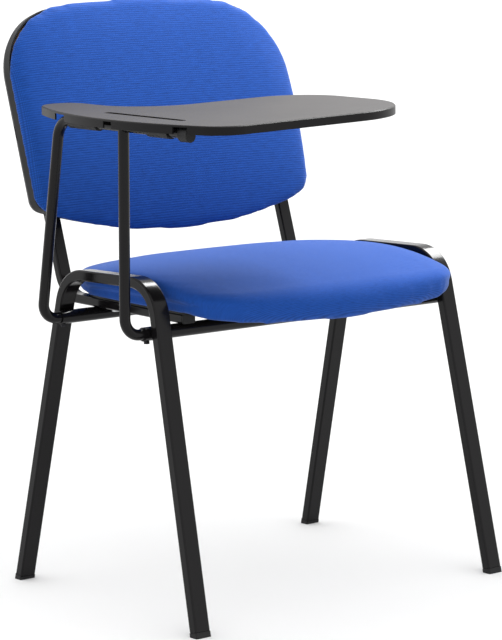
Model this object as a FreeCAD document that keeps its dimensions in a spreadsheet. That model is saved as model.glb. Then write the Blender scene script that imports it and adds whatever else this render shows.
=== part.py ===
"""Stacking conference chair with a folding writing tablet on the sitter's right arm.

Axes: the chair faces -Y, the sitter's right hand and the tablet are on the -X side, +Z is up and
the floor is Z = 0. Sizes are millimetres and degrees.
"""
import FreeCAD
import Part
import Sketcher
import math
import os
import re
from FreeCAD import Placement, Rotation, Vector

SIZES = {
    # Place of the chair's middle plane and of the middle of its feet in the frame
    "middle_x": 26.2,
    "middle_y": -12.4,
    # Rectangular tube of the two leg loops
    "leg_tube_w": 25.0,
    "leg_tube_d": 15.0,
    "leg_tube_wall": 1.5,
    "tube_corner": 1.8,
    "foot_splay": 11.7,
    "foot_y": 203.0,
    "rail_gap": 28.0,
    "rail_mid_y": 3.5,
    "rail_z": 457.4,
    "rail_tilt": 1.67,
    "rail_length": 195.6,
    "leg_bend": 52.0,
    "glide_height": 6.0,
    "glide_plug": 18.0,
    "glide_lip": 0.4,
    "plug_gap": 0.15,
    # Round cross tubes, whose open ends take the arm
    "cross_tube_d": 19.0,
    "cross_tube_wall": 1.9,
    "cross_z": 394.0,
    "socket_out": 21.0,
    "cross_past": 2.0,
    "weld_gap": 0.2,
    "cap_head": 3.0,
    # Rectangular tubes that carry the seat and rise to the back
    "support_tube_w": 21.0,
    "support_tube_d": 13.0,
    "support_tube_wall": 1.5,
    "support_in": 19.0,
    "support_front_y": 104.0,
    "support_corner_y": 172.0,
    "support_rise": 335.0,
    "support_bend": 44.0,
    "rail_room": 2.0,
    "back_rake": 18.2,
    # Seat
    "seat_half_w": 232.0,
    "seat_front_y": 205.0,
    "seat_rear_y": 198.0,
    "seat_front_bow_r": 1000.0,
    "seat_front_corner": 60.0,
    "seat_rear_corner": 125.0,
    "seat_roll": 26.8,
    "seat_toe": 53.0,
    "cushion_under": 0.3,
    "cushion_over": 0.2,
    "seat_crown_side": 0.55,
    "seat_board_inset": 8.0,
    "seat_board_t": 10.0,
    "seat_pan_t": 2.5,
    "pan_rim": 8.0,
    "pan_front_y": 188.0,
    "pan_front_corner": 90.0,
    "pan_rear_y": 186.0,
    "pan_rear_corner": 120.0,
    "seat_lip_z": 397.7,
    "seat_edge_z": 450.4,
    "seat_crown": 23.4,
    "seat_screw_front_y": 52.0,
    "seat_screw_rear_y": 58.0,
    # Back
    "back_past": 22.0,
    "back_low_s": 79.0,
    "back_top_s": 430.0,
    "back_bow_r": 780.0,
    "back_top_bow_r": 1400.0,
    "back_top_corner": 105.0,
    "back_low_corner": 26.0,
    "back_board_t": 11.5,
    "back_board_in": 11.5,
    "back_edge_t": 15.0,
    "back_crown": 19.0,
    "back_crown_side": 0.15,
    "shell_depth": 33.0,
    "shell_wall": 2.5,
    "shell_in": 5.0,
    "shell_round": 15.0,
    "shell_soft": 4.0,
    "shell_bevel": 13.0,
    "shell_notch_h": 90.0,
    "slot_w": 7.0,
    "slot_h": 22.0,
    "slot_s": 239.0,
    "back_screw_low_s": 195.0,
    "back_screw_high_s": 300.0,
    # Screws
    "screw_d": 6.0,
    "screw_hole_d": 6.4,
    "screw_head_d": 11.0,
    "screw_head_t": 3.0,
    "screw_bite": 8.0,
    # Arm of round tube
    "arm_tube_d": 15.0,
    "arm_tube_wall": 1.5,
    "arm_out": 29.0,
    "arm_bend": 24.0,
    "arm_insert": 62.0,
    "bar_z": 674.0,
    "bar_bend": 28.0,
    "bar_front_y": 217.0,
    "rear_post_top_y": 51.0,
    "bar_cap_d": 16.4,
    "bar_cap_drop": 3.5,
    "bar_cap_l": 17.0,
    "bolt_in": 7.0,
    "bolt_d": 5.0,
    "bolt_head_d": 8.5,
    "bolt_head_t": 3.5,
    # Writing tablet, measured from the bar's axis
    "tablet_tilt": 1.7,
    "tablet_out": 27.0,
    "tablet_out_y": 98.0,
    "tablet_out_r": 520.0,
    "tablet_rear_r": 32.0,
    "tablet_strip": 84.0,
    "tablet_waist": 90.0,
    "tablet_inner_y": 20.0,
    "tablet_inner_corner": 78.0,
    "tablet_reach": 374.0,
    "tablet_end_corner": 130.0,
    "tablet_front_y": 292.0,
    "tablet_front_corner": 45.0,
    "tablet_skin": 3.0,
    "tablet_skirt": 12.0,
    "tablet_skirt_t": 2.5,
    "tablet_edge": 1.5,
    "bar_headroom": 1.0,
    "rib_t": 2.0,
    "rib_h": 6.0,
    "rib_pitch": 70.0,
    "rib_start": 84.0,
    "rib_end": 322.0,
    "rib_column": 140.0,
    "post_notch": 1.5,
    "relief_before": 27.0,
    "relief_after": 6.0,
    "cap_relief": 3.0,
    "groove_w": 11.0,
    "groove_l": 169.0,
    "groove_rear_y": 19.0,
    "groove_in": 27.0,
    "groove_depth": 1.6,
    "pen_slot_in": 24.5,
    "pen_slot_w": 5.0,
    "pen_slot_l": 20.0,
    "pen_slot_depth": 5.0,
    # Hinge blocks that turn on the bar
    "hinge_gap": 0.05,
    "block_wall": 2.2,
    "block_ear": 18.0,
    "block_ear_t": 5.0,
    "block_rear_y": 22.0,
    "block_rear_l": 62.0,
    "block_front_y": 151.0,
    "block_front_l": 44.0,
    "block_screw_d": 4.0,
    "block_head_d": 7.5,
    "block_head_t": 2.5,
    # Stop that the tablet comes down on
    "stop_y": 62.0,
    "stop_w": 24.0,
    "stop_t": 4.0,
    "stop_reach": 42.0,
    "stop_pad_l": 14.0,
    "stop_gap": 0.3,
}

# Places that follow from the sizes
WORKED_OUT = {
    "rail_x": "seat_half_w + rail_gap",
    "foot_x": "rail_x + foot_splay",
    "cross_right_x": "rail_x + socket_out",
    "cross_left_x": "rail_x + cross_past",
    "socket_bolt_x": "cross_right_x - bolt_in",
    "arm_x": "cross_right_x + arm_out",
    "support_x": "seat_half_w - support_in",
    "back_half_w": "seat_half_w + back_past",
    "front_corner_y": "rail_mid_y - rail_length / 2 * cos(rail_tilt)",
    "front_corner_z": "rail_z + rail_length / 2 * sin(rail_tilt)",
    "rear_corner_y": "rail_mid_y + rail_length / 2 * cos(rail_tilt)",
    "rear_corner_z": "rail_z - rail_length / 2 * sin(rail_tilt)",
    "front_slope": "(front_corner_y + foot_y) / front_corner_z",
    "rear_slope": "(foot_y - rear_corner_y) / rear_corner_z",
    "tube_stack": "leg_tube_d / 2 + cross_tube_d / 2 + weld_gap",
    "cross_front_y": "-foot_y + front_slope * cross_z + tube_stack * sqrt(1 + front_slope ^ 2)",
    "cross_rear_y": "foot_y - rear_slope * cross_z - tube_stack * sqrt(1 + rear_slope ^ 2)",
    "support_z": "cross_z + cross_tube_d / 2 + weld_gap + support_tube_d / 2",
    "seat_base_z": "support_z + support_tube_d / 2",
    "board_top_z": "seat_base_z + seat_pan_t + seat_board_t",
    "back_face": "support_tube_d / 2 + back_board_t",
    "post_slope": "(cross_rear_y - rear_post_top_y) / (bar_z - cross_z)",
    "post_half": "(bar_z - cross_z) / 2 * sqrt(1 + post_slope ^ 2)",
    "post_cos": "1 / sqrt(1 + post_slope ^ 2)",
    "skin_low": "arm_tube_d / 2 + bar_headroom",
    "out_middle": "tablet_out_r - tablet_out",
    "rear_middle": "tablet_strip - tablet_rear_r",
    "rear_reach": "sqrt((tablet_out_r - tablet_rear_r) ^ 2 - (out_middle - rear_middle) ^ 2)",
    "front_reach": "tablet_front_y - tablet_front_corner - tablet_out_y",
    "front_middle": "out_middle - sqrt((tablet_out_r - tablet_front_corner) ^ 2 - front_reach ^ 2)",
    "block_r": "arm_tube_d / 2 + hinge_gap + block_wall",
}

doc = FreeCAD.newDocument("tablet_arm_chair")
dims = doc.addObject("Spreadsheet::Sheet", "dims")
cells = [(size, str(value)) for size, value in SIZES.items()]
cells += [(size, "=" + formula) for size, formula in WORKED_OUT.items()]
for row, (size, content) in enumerate(cells, 1):
    dims.set("A%d" % row, size)
    dims.set("B%d" % row, content)
    dims.setAlias("B%d" % row, size)
doc.recompute()

POLYGONS = {"hexagon": 6, "octagon": 8}
X_AXIS = Vector(1, 0, 0)
Y_AXIS = Vector(0, 1, 0)
Z_AXIS = Vector(0, 0, 1)
ORIGIN = (-1, 1)
nodes = []


def mm(text):
    """Value of an expression in the sheet's sizes."""
    return float(dims.evalExpression(text))


def expr(text):
    """The same expression as a binding, with each size named as a cell of the sheet."""
    return re.sub(r"\b(?!(?:sin|cos|tan|atan|sqrt)\b)([a-z]\w*)", r"dims.\1", text)


def bind(item, prop, text):
    item.setExpression(prop, expr(text))


def new_body(name):
    return doc.addObject("PartDesign::Body", name)


def sketch_on(body, name, role, offset=None):
    """Sketch on one of the body's origin planes, moved along the plane's normal by an expression."""
    sketch = body.newObject("Sketcher::SketchObject", name)
    plane = [feature for feature in body.Origin.OriginFeatures if feature.Role == role][0]
    sketch.AttachmentSupport = (plane, "")
    sketch.MapMode = "FlatFace"
    if offset:
        bind(sketch, "AttachmentOffset.Base.z", offset)
    return sketch


def dimension(sketch, kind, refs, text):
    """Dimension of a sketch, bound to an expression."""
    index = sketch.addConstraint(Sketcher.Constraint(kind, *refs, mm(text)))
    bind(sketch, "Constraints[%d]" % index, text)


def pin_point(sketch, geometry, end, place):
    """Fix one end of a line or arc at a place given by two expressions."""
    dimension(sketch, "DistanceX", (*ORIGIN, geometry, end), place[0])
    dimension(sketch, "DistanceY", (*ORIGIN, geometry, end), place[1])


def ring(sketch, diameter, centre=("0", "0")):
    """Circle of a diameter about a centre."""
    middle = Vector(mm(centre[0]), mm(centre[1]), 0)
    index = sketch.addGeometry(Part.Circle(middle, Z_AXIS, mm(diameter) / 2))
    pin_point(sketch, index, 3, centre)
    dimension(sketch, "Diameter", (index,), diameter)


def outline(sketch, corners, arcs=None):
    """Closed loop through the corners, anticlockwise. arcs gives a side's radius and whether it bulges."""
    arcs = arcs or {}
    first = sketch.GeometryCount
    count = len(corners)
    places = [Vector(mm(x), mm(y), 0) for x, y in corners]
    starts = []
    for side in range(count):
        here = places[side]
        there = places[(side + 1) % count]
        if side not in arcs:
            sketch.addGeometry(Part.LineSegment(here, there))
            starts.append((1, 2))
            continue
        radius_text, bulges = arcs[side]
        radius = mm(radius_text)
        chord = there - here
        half = chord.Length / 2
        inward = Vector(-chord.y, chord.x, 0).normalize() * (1 if bulges else -1)
        centre = here + chord * 0.5 + inward * math.sqrt(radius * radius - half * half)
        begin, end = (here, there) if bulges else (there, here)
        angles = [math.atan2(spot.y - centre.y, spot.x - centre.x) for spot in (begin, end)]
        sketch.addGeometry(Part.ArcOfCircle(Part.Circle(centre, Z_AXIS, radius), *angles))
        starts.append((1, 2) if bulges else (2, 1))
    for side in range(count):
        following = (side + 1) % count
        joint = (first + side, starts[side][1], first + following, starts[following][0])
        sketch.addConstraint(Sketcher.Constraint("Coincident", *joint))
        pin_point(sketch, first + side, starts[side][0], corners[side])
        if side in arcs:
            dimension(sketch, "Radius", (first + side,), arcs[side][0])


def rectangle(sketch, low, high):
    """Upright rectangle between two corners given by expressions."""
    outline(sketch, [low, (high[0], low[1]), high, (low[0], high[1])])


def tube_section(sketch, width, depth, lip="0"):
    """Rectangle about the sketch's origin with bevelled corners, let out by a lip."""
    wide = "(%s / 2 + %s)" % (width, lip)
    deep = "(%s / 2 + %s)" % (depth, lip)
    flat = "(%s - tube_corner)" % wide
    side = "(%s - tube_corner)" % deep
    outline(sketch, [
        ("-" + flat, "-" + deep), (flat, "-" + deep), (wide, "-" + side), (wide, side),
        (flat, deep), ("-" + flat, deep), ("-" + wide, side), ("-" + wide, "-" + side),
    ])


def tube_bore(sketch, width, depth, wall):
    """Plain rectangle inside a rectangular tube."""
    wide = "(%s / 2 - %s)" % (width, wall)
    deep = "(%s / 2 - %s)" % (depth, wall)
    rectangle(sketch, ("-" + wide, "-" + deep), (wide, deep))


def spine(body, name, role, corner, end, radius):
    """Path from the origin to a corner on one of the sketch's axes, round a bend and on to an end."""
    sketch = sketch_on(body, name, role)
    start = Vector(0, 0, 0)
    turn_at = Vector(mm(corner[0]), mm(corner[1]), 0)
    stop = Vector(mm(end[0]), mm(end[1]), 0)
    bend = mm(radius)
    coming = (turn_at - start).normalize()
    going = (stop - turn_at).normalize()
    turn = math.acos(coming.dot(going))
    reach = bend * math.tan(turn / 2)
    enter = turn_at - coming * reach
    leave = turn_at + going * reach
    leftward = coming.x * going.y - coming.y * going.x > 0
    centre = enter + Vector(-coming.y, coming.x, 0) * (bend if leftward else -bend)
    ends = (enter, leave) if leftward else (leave, enter)
    angles = [math.atan2(spot.y - centre.y, spot.x - centre.x) for spot in ends]
    near, far = (1, 2) if leftward else (2, 1)
    sketch.addGeometry(Part.LineSegment(start, enter))
    sketch.addGeometry(Part.ArcOfCircle(Part.Circle(centre, Z_AXIS, bend), *angles))
    sketch.addGeometry(Part.LineSegment(leave, stop))
    marker = sketch.addGeometry(Part.Point(turn_at), True)
    sketch.addConstraint(Sketcher.Constraint("Coincident", *ORIGIN, 0, 1))
    sketch.addConstraint(Sketcher.Constraint("Horizontal" if corner[1] == "0" else "Vertical", 0))
    sketch.addConstraint(Sketcher.Constraint("Tangent", 0, 2, 1, near))
    sketch.addConstraint(Sketcher.Constraint("Tangent", 1, far, 2, 1))
    dimension(sketch, "Radius", (1,), radius)
    pin_point(sketch, marker, 1, corner)
    sketch.addConstraint(Sketcher.Constraint("PointOnObject", marker, 1, 2))
    pin_point(sketch, 2, 2, end)
    return sketch


def pipe(body, name, profile, path):
    feature = body.newObject("PartDesign::AdditivePipe", name)
    feature.Profile = profile
    feature.Spine = (path, ["Edge1", "Edge2", "Edge3"])
    return feature


def pad(body, name, sketch, length, midplane=False, reverse=False):
    feature = body.newObject("PartDesign::Pad", name)
    feature.Profile = sketch
    bind(feature, "Length", length)
    feature.Midplane = midplane
    feature.Reversed = reverse
    return feature


def pocket(body, name, sketch, length, midplane=False, reverse=False):
    """Cut that has to take material away."""
    doc.recompute()
    before = body.Shape.Volume
    feature = body.newObject("PartDesign::Pocket", name)
    feature.Profile = sketch
    bind(feature, "Length", length)
    feature.Midplane = midplane
    feature.Reversed = reverse
    doc.recompute()
    if body.Shape.Volume > before - 1e-3:
        raise RuntimeError("pocket %s of %s cuts nothing" % (name, body.Name))
    return feature


def fillet(body, name, base, radius, chosen):
    """Round the edges of the last feature that the test chooses."""
    doc.recompute()
    edges = ["Edge%d" % index for index, edge in enumerate(base.Shape.Edges, 1) if chosen(edge)]
    feature = body.newObject("PartDesign::Fillet", name)
    feature.Base = (base, edges)
    bind(feature, "Radius", radius)
    return feature


def bevel(body, name, base, size, chosen):
    """Bevel the edges of the last feature that the test chooses."""
    doc.recompute()
    edges = ["Edge%d" % index for index, edge in enumerate(base.Shape.Edges, 1) if chosen(edge)]
    feature = body.newObject("PartDesign::Chamfer", name)
    feature.Base = (base, edges)
    bind(feature, "Size", size)
    return feature


def node(item, label, place=None):
    """Name a finished sub-part and stand it in the frame."""
    item.Label = label
    item.Placement = place or Placement()
    nodes.append(item)
    return item


def turned(base, axis, angle):
    return Placement(Vector(*base), Rotation(axis, angle))


# Leg loops
def loop_turn(side):
    """Splay of a loop's plane: the feet stand wider than the rail."""
    splay = math.degrees(math.atan2(mm("foot_x - rail_x"), mm("rail_z")))
    return Rotation(Y_AXIS, -side * splay)


def leg_loop(label, side):
    """Loop of one side: a short top rail that bends down into the front and the rear leg."""
    body = new_body(label)
    section = sketch_on(body, label + "_section", "XZ_Plane")
    tube_section(section, "leg_tube_w", "leg_tube_d")
    tube_bore(section, "leg_tube_w", "leg_tube_d", "leg_tube_wall")
    for end, sign in (("front", "-1"), ("rear", "1")):
        shown = "(1 - glide_height / %s_corner_z)" % end
        half = "%s * rail_length / 2" % sign
        run = "(%s * foot_y - rail_mid_y)" % sign
        foot_u = "(%s * cos(rail_tilt) + rail_z * sin(rail_tilt))" % run
        foot_v = "(%s * sin(rail_tilt) - rail_z * cos(rail_tilt))" % run
        tip = ("%s + (%s - %s) * %s" % (half, foot_u, half, shown), "%s * %s" % (foot_v, shown))
        path = spine(body, "%s_%s_path" % (label, end), "YZ_Plane", (half, "0"), tip, "leg_bend")
        pipe(body, "%s_%s_leg" % (label, end), section, path)
    tilt = Rotation(X_AXIS, -mm("rail_tilt"))
    middle = Vector(side * mm("rail_x"), mm("rail_mid_y"), mm("rail_z"))
    node(body, label, Placement(middle, loop_turn(side) * tilt))


def foot_glide(label, side, end):
    """Plastic foot: a plug in the tube and a sole that is flat on the floor."""
    body = new_body(label + "_blank")
    plug = sketch_on(body, label + "_plug", "XY_Plane")
    tube_bore(plug, "leg_tube_w", "leg_tube_d", "(leg_tube_wall + plug_gap)")
    pad(body, label + "_plug_pad", plug, "glide_plug")
    sole = sketch_on(body, label + "_sole", "XY_Plane")
    tube_section(sole, "leg_tube_w", "leg_tube_d", "glide_lip")
    pad(body, label + "_sole_pad", sole, "2 * glide_height", reverse=True)
    name = "front" if end < 0 else "rear"
    corner = Vector(0, mm(name + "_corner_y"), mm(name + "_corner_z"))
    foot = Vector(0, end * mm("foot_y"), 0)
    along = corner - foot
    tube_end = foot + along * (mm("glide_height") / corner.z)
    lean = Rotation(X_AXIS, math.degrees(math.atan2(-along.y, along.z)))
    rail = Vector(0, 0, mm("rail_z"))
    splayed = Vector(side * mm("rail_x"), 0, 0) + rail + loop_turn(side).multVec(tube_end - rail)
    body.Placement = Placement(splayed, loop_turn(side) * lean)
    floor = doc.addObject("Part::Box", label + "_floor")
    bind(floor, "Length", "2 * leg_tube_w")
    bind(floor, "Width", "2 * leg_tube_w")
    bind(floor, "Height", "4 * glide_height")
    reach = mm("leg_tube_w")
    floor.Placement.Base = Vector(splayed.x - reach, splayed.y - reach, -mm("4 * glide_height"))
    glide = doc.addObject("Part::Cut", label)
    glide.Base = body
    glide.Tool = floor
    node(glide, label)


# Tubes across the chair and under the seat
def cross_tube(label, middle_y):
    """Round tube across the chair; its right end is open for the arm and has a bolt hole below."""
    body = new_body(label)
    section = sketch_on(body, label + "_section", "YZ_Plane")
    ring(section, "cross_tube_d")
    ring(section, "(cross_tube_d - 2 * cross_tube_wall)")
    pad(body, label + "_pad", section, "cross_right_x + cross_left_x")
    hole = sketch_on(body, label + "_hole", "XY_Plane")
    ring(hole, "(bolt_d + 2 * plug_gap)", ("cross_right_x - socket_bolt_x", "0"))
    pocket(body, label + "_bolt_hole", hole, "cross_tube_d")
    node(body, label, Placement(Vector(-mm("cross_right_x"), middle_y, mm("cross_z")), Rotation()))


def back_frame():
    """Frame of the back: its Z runs up the uprights and its -Y towards the sitter."""
    corner = Vector(0, mm("support_corner_y"), mm("support_z"))
    return Placement(corner, Rotation(X_AXIS, -mm("back_rake")))


def seat_screw_rows():
    return (-mm("seat_screw_front_y"), mm("seat_screw_rear_y"))


def back_screw_rows():
    return (mm("back_screw_low_s"), mm("back_screw_high_s"))


def seat_screw_places(height):
    side = mm("support_x")
    spots = [Vector(x, y, mm(height)) for x in (-side, side) for y in seat_screw_rows()]
    return [Placement(spot, Rotation()) for spot in spots]


def back_screw_places():
    """Places on the uprights' middle planes, with Z pointing forward."""
    side = mm("support_x")
    spots = [Vector(x, 0, s) for x in (-side, side) for s in back_screw_rows()]
    return [back_frame() * Placement(spot, Rotation(X_AXIS, 90)) for spot in spots]


def stacked(name, steps, place):
    """Solid of steps along Z: a section's shape, its diameter, a low and a high end."""
    pieces = []
    for index, (section, diameter, low, high) in enumerate(steps):
        faceted = section in POLYGONS
        piece = doc.addObject("Part::Prism" if faceted else "Part::Cylinder", "%s_step_%d" % (name, index))
        if faceted:
            piece.Polygon = POLYGONS[section]
        bind(piece, "Circumradius" if faceted else "Radius", "(%s) / 2" % diameter)
        bind(piece, "Height", "(%s) - (%s)" % (high, low))
        piece.Placement = place * Placement(Vector(0, 0, mm(low)), Rotation())
        pieces.append(piece)
    if len(pieces) == 1:
        return pieces[0]
    solid = doc.addObject("Part::MultiFuse", name)
    solid.Shapes = pieces
    return solid


def compound(name, items):
    whole = doc.addObject("Part::Compound", name)
    whole.Links = items
    return whole


def group(label, steps, places):
    """Like turned pieces in one node, a separate solid at each place."""
    pieces = [stacked("%s_%d" % (label, index), steps, spot) for index, spot in enumerate(places)]
    node(compound(label, pieces), label)


def drilled(label, body, place, holes, step):
    """Node with screw holes through a body; a hole's place is in the chair's frame."""
    body.Placement = place
    drills = [stacked("%s_drill_%d" % (label, index), [step], spot) for index, spot in enumerate(holes)]
    cut = doc.addObject("Part::Cut", label)
    cut.Base = body
    cut.Tool = compound(label + "_drills", drills)
    node(cut, label)


def back_support(label, side):
    """Rectangular tube: a rail under the seat that bends up into the back's upright."""
    body = new_body(label + "_tube")
    section = sketch_on(body, label + "_section", "XZ_Plane")
    tube_section(section, "support_tube_w", "support_tube_d")
    tube_bore(section, "support_tube_w", "support_tube_d", "support_tube_wall")
    reach = "support_front_y + support_corner_y"
    top = ("%s + support_rise * sin(back_rake)" % reach, "support_rise * cos(back_rake)")
    path = spine(body, label + "_path", "YZ_Plane", (reach, "0"), top, "support_bend")
    pipe(body, label + "_pipe", section, path)
    place = Placement(Vector(side * mm("support_x"), -mm("support_front_y"), mm("support_z")), Rotation())
    holes = [spot for spot in seat_screw_places("support_z") + back_screw_places() if spot.Base.x * side > 0]
    drilled(label, body, place, holes, ("octagon", "screw_hole_d", "-support_tube_d", "support_tube_d"))


def support_plug(name, side):
    """Plug in the front end of a seat rail."""
    body = new_body(name)
    inside = sketch_on(body, name + "_inside", "XZ_Plane")
    tube_bore(inside, "support_tube_w", "support_tube_d", "(support_tube_wall + plug_gap)")
    pad(body, name + "_inside_pad", inside, "glide_plug", reverse=True)
    head = sketch_on(body, name + "_head", "XZ_Plane")
    tube_section(head, "support_tube_w", "support_tube_d")
    pad(body, name + "_head_pad", head, "cap_head")
    body.Placement.Base = Vector(side * mm("support_x"), -mm("support_front_y"), mm("support_z"))
    return body


# Seat
def board_plan(inset):
    """Corners and arcs of the seat's tray in plan, drawn in by an expression."""
    wide = "(seat_half_w - %s)" % inset
    front = "(pan_front_y - %s)" % inset
    rear = "(pan_rear_y - %s)" % inset
    near = "(pan_front_corner - %s)" % inset
    far = "(pan_rear_corner - %s)" % inset
    right = [
        ("%s - %s" % (wide, near), "-%s" % front),
        (wide, "%s - %s" % (near, front)),
        (wide, "%s - %s" % (rear, far)),
        ("%s - %s" % (wide, far), rear),
    ]
    left = [("-(%s)" % x, y) for x, y in reversed(right)]
    return right + left, {0: (near, True), 2: (far, True), 4: (far, True), 6: (near, True)}


def seat_pan():
    """Moulded tray under the seat; the plywood lies in it."""
    body = new_body("seat_tray")
    base = sketch_on(body, "pan_outline", "XY_Plane")
    outline(base, *board_plan("seat_board_inset"))
    pad(body, "pan_pad", base, "seat_pan_t + pan_rim")
    inner = sketch_on(body, "pan_inner", "XY_Plane", "seat_pan_t")
    outline(inner, *board_plan("(seat_board_inset + seat_pan_t)"))
    pocket(body, "pan_tray", inner, "seat_board_t", reverse=True)
    place = Placement(Vector(0, 0, mm("seat_base_z")), Rotation())
    step = ("octagon", "screw_hole_d", "-seat_pan_t", "2 * seat_pan_t")
    drilled("seat_pan", body, place, seat_screw_places("seat_base_z"), step)


def seat_board():
    """Plywood of the seat, with blind holes for its screws."""
    body = new_body("seat_plywood")
    base = sketch_on(body, "board_outline", "XY_Plane")
    outline(base, *board_plan("(seat_board_inset + seat_pan_t + plug_gap)"))
    pad(body, "board_pad", base, "seat_board_t")
    level = "seat_base_z + seat_pan_t"
    place = Placement(Vector(0, 0, mm(level)), Rotation())
    step = ("octagon", "screw_hole_d", "-seat_board_t", "screw_bite")
    drilled("seat_board", body, place, seat_screw_places(level), step)


# Cushions: lofts through closed wires of lines and arcs, cut across the chair
STATIONS = (0.0, 0.36, 0.62, 0.78, 0.89, 0.955, 0.99)


def across(reach):
    """Places of a cushion's cuts, closer together towards its two sides."""
    right = [reach * share / STATIONS[-1] for share in STATIONS]
    return [-x for x in reversed(right[1:])] + right


def drawn_in(offset, reach, corner):
    """Distance that a rounded corner draws an edge in, at an offset from the middle."""
    into = max(0.0, abs(offset) - (reach - corner))
    return corner - math.sqrt(max(0.0, corner * corner - into * into))


def bow(offset, radius):
    """Sagitta of a bowed edge."""
    return radius - math.sqrt(radius * radius - offset * offset)


def wire(start, steps):
    """Closed wire: a step is a place to draw a line to, or an arc's middle and its end."""
    edges = []
    here = start
    for step in steps:
        if isinstance(step, tuple):
            edges.append(Part.Arc(here, step[0], step[1]).toShape())
            here = step[1]
        else:
            edges.append(Part.makeLine(here, step))
            here = step
    return Part.Wire(edges)


def seat_section(x):
    """Cut through the seat: flat base, rounded rear, crowned top and a front that rolls under."""
    half = mm("seat_half_w") / STATIONS[-1]
    front = bow(x, mm("seat_front_bow_r")) - mm("seat_front_y") + drawn_in(x, half, mm("seat_front_corner"))
    rear = mm("seat_rear_y") - drawn_in(x, half, mm("seat_rear_corner"))
    side = drawn_in(x, half, mm("seat_roll"))
    share = 1 - (x / half) ** 2
    base = mm("seat_base_z - weld_gap") + side * mm("cushion_under")
    low = mm("seat_lip_z") + (base - mm("seat_lip_z")) * (1 - share)
    top = mm("seat_edge_z") - side * mm("cushion_over")
    crest = top + mm("seat_crown") * (mm("seat_crown_side") + mm("1 - seat_crown_side") * math.sqrt(share))
    roll = mm("seat_roll") * (top - low) / mm("seat_edge_z - seat_lip_z")

    def at(y, z):
        return Vector(x, y, z)

    toe = at(front + roll / 2, low)
    return wire(toe, [
        at(front + mm("seat_toe"), base),
        at(rear - roll / 2, base),
        (at(rear, (base + top) / 2), at(rear - roll / 2, top)),
        (at((front + rear) / 2, crest), at(front + roll, top)),
        (at(front, (low + top) / 2), toe),
    ])


def seat_cushion():
    """Foam and cloth of the seat, hollowed for the board and its tray and let out round the rails."""
    blank = doc.addObject("Part::Feature", "seat_blank")
    blank.Shape = Part.makeLoft([seat_section(x) for x in across(mm("seat_half_w"))], True, True)
    hollow = new_body("seat_hollow")
    shape = sketch_on(hollow, "seat_hollow_outline", "XY_Plane")
    outline(shape, *board_plan("(seat_board_inset - weld_gap)"))
    pad(hollow, "seat_hollow_pad", shape, "board_top_z - seat_base_z + 2 * weld_gap")
    hollow.Placement.Base = Vector(0, 0, mm("seat_base_z - 2 * weld_gap"))
    tools = [hollow]
    for name, side in (("right", -1), ("left", 1)):
        room = doc.addObject("Part::Box", "rail_room_" + name)
        bind(room, "Length", "support_tube_w + 2 * rail_room")
        bind(room, "Width", "3 * support_bend")
        bind(room, "Height", "support_tube_d / 2 + 2 * rail_room")
        edge = side * mm("support_x") - mm("support_tube_w / 2 + rail_room")
        room.Placement.Base = Vector(edge, mm("support_corner_y - 2 * support_bend"), mm("support_z"))
        tools.append(room)
    cushion = doc.addObject("Part::Cut", "seat_cushion")
    cushion.Base = blank
    cushion.Tool = compound("seat_tools", tools)
    node(cushion, "seat_cushion")


# Back
def back_plan(inset):
    """Corners and arcs of the back's outline: a bowed foot and head between upright sides."""
    wide = "(back_half_w - %s)" % inset
    foot = "(back_bow_r - %s)" % inset
    head = "(back_top_bow_r - %s)" % inset
    low = "back_low_s + back_bow_r - sqrt(%s ^ 2 - %s ^ 2)" % (foot, wide)
    high = "back_top_s - back_top_bow_r + sqrt(%s ^ 2 - %s ^ 2)" % (head, wide)
    corners = [("-" + wide, low), (wide, low), (wide, high), ("-" + wide, high)]
    return corners, {0: (foot, True), 2: (head, True)}


def round_corners(body, name, base, inset):
    """Round the back's two top and two bottom corners."""
    middle = mm("(back_low_s + back_top_s) / 2")

    def upright(edge):
        ends = [vertex.Point for vertex in edge.Vertexes]
        return len(ends) == 2 and abs(ends[0].x - ends[1].x) + abs(ends[0].z - ends[1].z) < 1e-6

    top = fillet(body, name + "_top_corners", base, "back_top_corner - %s" % inset,
                 lambda edge: upright(edge) and edge.Vertexes[0].Z > middle)
    return fillet(body, name + "_low_corners", top, "back_low_corner - %s" % inset,
                  lambda edge: upright(edge) and edge.Vertexes[0].Z < middle and edge.Vertexes[1].Z < middle)


def at_depth(y):
    """Test for edges that lie wholly at one depth."""
    return lambda edge: all(abs(vertex.Y - y) < 1e-6 for vertex in edge.Vertexes)


def back_block(name, inset, start, depth):
    """Body of the back's outline with rounded corners."""
    body = new_body(name)
    base = sketch_on(body, name + "_outline", "XZ_Plane", start)
    outline(base, *back_plan(inset))
    block = pad(body, name + "_pad", base, depth)
    corners = round_corners(body, name, block, inset)
    body.Placement = back_frame()
    return body, corners


def back_box(name, low, high):
    """Box in the back's frame between two corners given by expressions."""
    box = doc.addObject("Part::Box", name)
    for prop, one, other in zip(("Length", "Width", "Height"), low, high):
        bind(box, prop, "(%s) - (%s)" % (other, one))
    box.Placement = back_frame() * Placement(Vector(*[mm(text) for text in low]), Rotation())
    return box


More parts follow.
